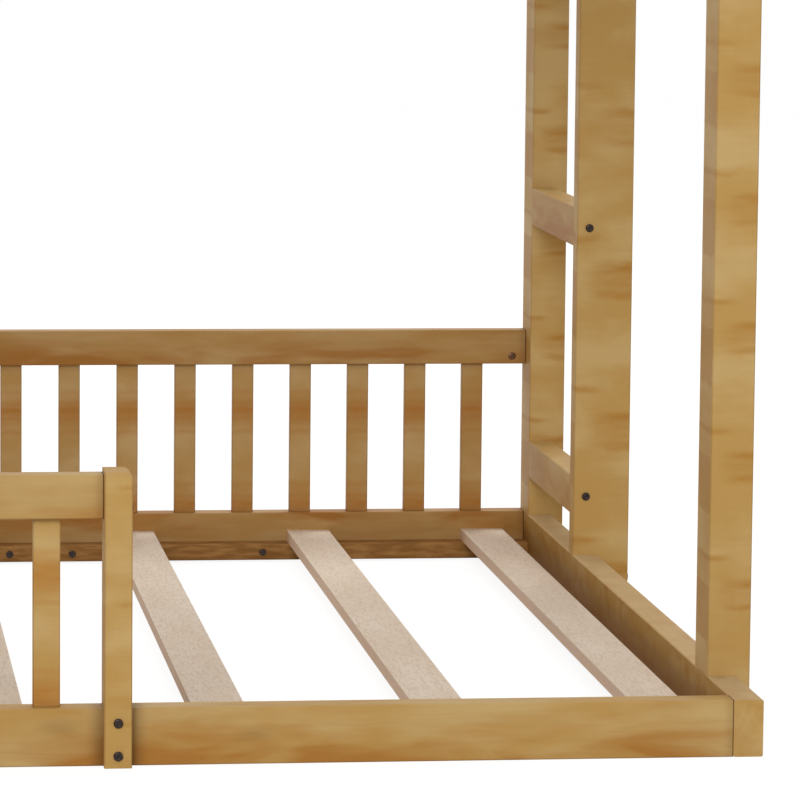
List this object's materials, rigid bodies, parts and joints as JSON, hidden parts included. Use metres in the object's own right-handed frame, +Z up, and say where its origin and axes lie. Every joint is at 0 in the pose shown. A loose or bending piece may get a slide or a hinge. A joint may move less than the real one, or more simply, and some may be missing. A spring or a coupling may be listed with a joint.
{
  "type": "bunk bed with slide",
  "caption": "Low wooden bunk bed with slatted decks, balustered guards, an end ladder and a slide from the upper deck.",
  "frame": {"origin": "on the floor, in the middle of the ground that bed and slide cover", "axes": "+X runs along the bed to its ladder end, +Y from the slide's foot to the back of the bed, +Z up"},
  "size_m": [2.0483, 2.997, 1.5],
  "materials": {
    "stained_pine": "honey-stained pine under satin lacquer",
    "slat_wood": "bare planed poplar",
    "slide_panel": "honey-stained bent plywood under gloss lacquer",
    "bronze_steel": "dark bronze plated steel",
    "nut_steel": "brown lacquered steel"
  },
  "bodies": {
    "root": {"back_post_left": "stained_pine", "back_post_right": "stained_pine", "barrel_nuts": "nut_steel", "connector_bolts": "bronze_steel", "front_post_left": "stained_pine", "front_post_right": "stained_pine", "ladder_rung_1": "stained_pine", "ladder_rung_2": "stained_pine", "ladder_rung_3": "stained_pine", "ladder_stile": "stained_pine", "ledger_screws": "bronze_steel", "lower_back_balusters": "stained_pine", "lower_back_guard_rail": "stained_pine", "lower_back_ledger": "stained_pine", "lower_back_rail": "stained_pine", "lower_front_balusters": "stained_pine", "lower_front_guard_post_left": "stained_pine", "lower_front_guard_post_right": "stained_pine", "lower_front_guard_rail": "stained_pine", "lower_front_ledger": "stained_pine", "lower_front_rail": "stained_pine", "lower_left_rail": "stained_pine", "lower_right_rail": "stained_pine", "lower_slats": "slat_wood", "slide_battens": "stained_pine", "slide_bed": "slide_panel", "slide_header": "stained_pine", "slide_leg_left": "stained_pine", "slide_leg_right": "stained_pine", "slide_screws": "bronze_steel", "slide_side_left": "stained_pine", "slide_side_right": "stained_pine", "slide_stretcher": "stained_pine", "upper_back_balusters": "stained_pine", "upper_back_guard_rail": "stained_pine", "upper_back_ledger": "stained_pine", "upper_back_rail": "stained_pine", "upper_centre_beam": "stained_pine", "upper_front_balusters": "stained_pine", "upper_front_guard_post_left": "stained_pine", "upper_front_guard_post_middle": "stained_pine", "upper_front_guard_post_right": "stained_pine", "upper_front_guard_rail": "stained_pine", "upper_front_ledger": "stained_pine", "upper_front_rail": "stained_pine", "upper_left_balusters": "stained_pine", "upper_left_guard_rail": "stained_pine", "upper_left_rail": "stained_pine", "upper_right_balusters": "stained_pine", "upper_right_guard_rail": "stained_pine", "upper_right_rail": "stained_pine", "upper_slats": "slat_wood"}
  },
  "joints": []
}
